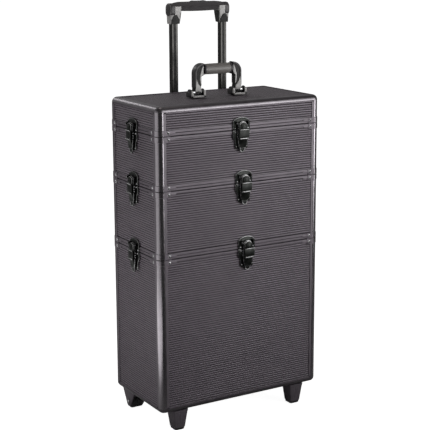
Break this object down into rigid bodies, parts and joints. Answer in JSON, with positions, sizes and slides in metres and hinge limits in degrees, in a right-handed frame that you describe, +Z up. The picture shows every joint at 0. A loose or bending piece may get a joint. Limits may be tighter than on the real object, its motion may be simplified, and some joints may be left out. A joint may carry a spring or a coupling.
{
  "type": "makeup train case",
  "caption": "Rolling make-up train case: a trunk, stacked lift-off tiers and a lid in aluminium edge frames, with latches, a carry handle and a pull-out trolley handle.",
  "frame": {"origin": "on the floor, under the middle of the whole object's box", "axes": "+Z up, -Y towards the front of the case, +X to the right of someone facing that front"},
  "size_m": [0.385, 0.236, 0.8107],
  "materials": {
    "black_ribbed_abs": "fine horizontal ribs, satin",
    "black_aluminium": "black anodised, satin",
    "black_steel": "gloss black plated",
    "black_plastic": "moulded, satin",
    "grey_plastic": "moulded, satin",
    "soft_grip": "soft moulded",
    "satin_aluminium": "satin anodised",
    "bright_steel": "plated",
    "wheel_rubber": "matt"
  },
  "bodies": {
    "base": {"trunk_shell": "black_ribbed_abs", "trunk_frame": "black_aluminium", "foot_left": "black_plastic", "foot_right": "black_plastic", "wheel_housing_left": "black_plastic", "wheel_housing_right": "black_plastic", "axle_left": "bright_steel", "axle_right": "bright_steel", "trolley_outer_tube_left": "black_aluminium", "trolley_outer_tube_right": "black_aluminium", "trolley_lower_bracket": "black_plastic", "trolley_upper_bracket": "black_plastic", "lower_latch_front_catch_plate": "black_steel", "lower_latch_left_catch_plate": "black_steel", "lower_latch_right_catch_plate": "black_steel"},
    "roller_left": {"wheel_left": "wheel_rubber"},
    "roller_right": {"wheel_right": "wheel_rubber"},
    "middle_tier": {"middle_shell": "black_ribbed_abs", "middle_frame": "black_aluminium", "lower_latch_front_hinge_plate": "black_steel", "lower_latch_left_hinge_plate": "black_steel", "lower_latch_right_hinge_plate": "black_steel", "middle_latch_front_catch_plate": "black_steel", "middle_latch_left_catch_plate": "black_steel", "middle_latch_right_catch_plate": "black_steel"},
    "top_tier": {"top_shell": "black_ribbed_abs", "top_frame": "black_aluminium", "middle_latch_front_hinge_plate": "black_steel", "middle_latch_left_hinge_plate": "black_steel", "middle_latch_right_hinge_plate": "black_steel", "upper_latch_front_catch_plate": "black_steel", "upper_latch_left_catch_plate": "black_steel", "upper_latch_right_catch_plate": "black_steel"},
    "lid": {"lid_shell": "black_ribbed_abs", "lid_frame": "black_aluminium", "handle_foot_left": "black_plastic", "handle_foot_right": "black_plastic", "upper_latch_front_hinge_plate": "black_steel", "upper_latch_left_hinge_plate": "black_steel", "upper_latch_right_hinge_plate": "black_steel"},
    "carry_handle": {"handle_bail": "black_plastic", "handle_pad": "soft_grip"},
    "trolley_middle": {"trolley_middle_tube_left": "satin_aluminium", "trolley_middle_tube_right": "satin_aluminium"},
    "trolley_inner": {"trolley_inner_tube_left": "satin_aluminium", "trolley_inner_tube_right": "satin_aluminium", "trolley_sleeve_left": "grey_plastic", "trolley_sleeve_right": "grey_plastic", "trolley_grip": "black_plastic"},
    "trolley_release": {"trolley_button": "grey_plastic"},
    "lower_front_hasp": {"lower_latch_front_hasp": "black_steel"},
    "lower_left_hasp": {"lower_latch_left_hasp": "black_steel"},
    "lower_right_hasp": {"lower_latch_right_hasp": "black_steel"},
    "middle_front_hasp": {"middle_latch_front_hasp": "black_steel"},
    "middle_left_hasp": {"middle_latch_left_hasp": "black_steel"},
    "middle_right_hasp": {"middle_latch_right_hasp": "black_steel"},
    "upper_front_hasp": {"upper_latch_front_hasp": "black_steel"},
    "upper_left_hasp": {"upper_latch_left_hasp": "black_steel"},
    "upper_right_hasp": {"upper_latch_right_hasp": "black_steel"}
  },
  "joints": [
    {"name": "roller_left_spin", "type": "hinge", "parent": "base", "child": "roller_left", "pos_m": [-0.152, 0.058, 0.0135], "axis": [1, 0, 0], "continuous": true},
    {"name": "roller_right_spin", "type": "hinge", "parent": "base", "child": "roller_right", "pos_m": [0.152, 0.058, 0.0135], "axis": [1, 0, 0], "continuous": true},
    {"name": "middle_tier_lift", "type": "slide", "parent": "base", "child": "middle_tier", "axis": [0, 0, 1], "range_m": [0, 0.1]},
    {"name": "top_tier_lift", "type": "slide", "parent": "middle_tier", "child": "top_tier", "axis": [0, 0, 1], "range_m": [0, 0.1]},
    {"name": "lid_lift", "type": "slide", "parent": "top_tier", "child": "lid", "axis": [0, 0, 1], "range_m": [0, 0.1]},
    {"name": "carry_handle_swing", "type": "hinge", "parent": "lid", "child": "carry_handle", "pos_m": [0.001, -0.013, 0.6423], "axis": [1, 0, 0], "range_deg": [-75, 75]},
    {"name": "trolley_middle_slide", "type": "slide", "parent": "base", "child": "trolley_middle", "axis": [0, 0, 1], "range_m": [-0.21, 0]},
    {"name": "trolley_inner_slide", "type": "slide", "parent": "trolley_middle", "child": "trolley_inner", "axis": [0, 0, 1], "range_m": [-0.14, 0]},
    {"name": "trolley_button_press", "type": "slide", "parent": "trolley_inner", "child": "trolley_release", "axis": [0, 0, 1], "range_m": [-0.0025, 0], "stiffness_N_per_m": 400, "springref_m": 0.001},
    {"name": "lower_front_hasp_swing", "type": "hinge", "parent": "middle_tier", "child": "lower_front_hasp", "pos_m": [0.0105, -0.1121, 0.359], "axis": [-1, 0, 0], "range_deg": [0, 100]},
    {"name": "lower_left_hasp_swing", "type": "hinge", "parent": "middle_tier", "child": "lower_left_hasp", "pos_m": [-0.1866, -0.008, 0.359], "axis": [0, 1, 0], "range_deg": [0, 100]},
    {"name": "lower_right_hasp_swing", "type": "hinge", "parent": "middle_tier", "child": "lower_right_hasp", "pos_m": [0.1866, -0.008, 0.359], "axis": [0, -1, 0], "range_deg": [0, 100]},
    {"name": "middle_front_hasp_swing", "type": "hinge", "parent": "top_tier", "child": "middle_front_hasp", "pos_m": [0.004, -0.1121, 0.4885], "axis": [-1, 0, 0], "range_deg": [0, 100]},
    {"name": "middle_left_hasp_swing", "type": "hinge", "parent": "top_tier", "child": "middle_left_hasp", "pos_m": [-0.1866, -0.008, 0.4885], "axis": [0, 1, 0], "range_deg": [0, 100]},
    {"name": "middle_right_hasp_swing", "type": "hinge", "parent": "top_tier", "child": "middle_right_hasp", "pos_m": [0.1866, -0.008, 0.4885], "axis": [0, -1, 0], "range_deg": [0, 100]},
    {"name": "upper_front_hasp_swing", "type": "hinge", "parent": "lid", "child": "upper_front_hasp", "pos_m": [-0.0015, -0.1121, 0.591], "axis": [-1, 0, 0], "range_deg": [0, 100]},
    {"name": "upper_left_hasp_swing", "type": "hinge", "parent": "lid", "child": "upper_left_hasp", "pos_m": [-0.1866, -0.008, 0.591], "axis": [0, 1, 0], "range_deg": [0, 100]},
    {"name": "upper_right_hasp_swing", "type": "hinge", "parent": "lid", "child": "upper_right_hasp", "pos_m": [0.1866, -0.008, 0.591], "axis": [0, -1, 0], "range_deg": [0, 100]}
  ],
  "couplings": [
    {"joint": "trolley_inner_slide", "follows": "trolley_middle_slide", "ratio": 0.6667}
  ]
}
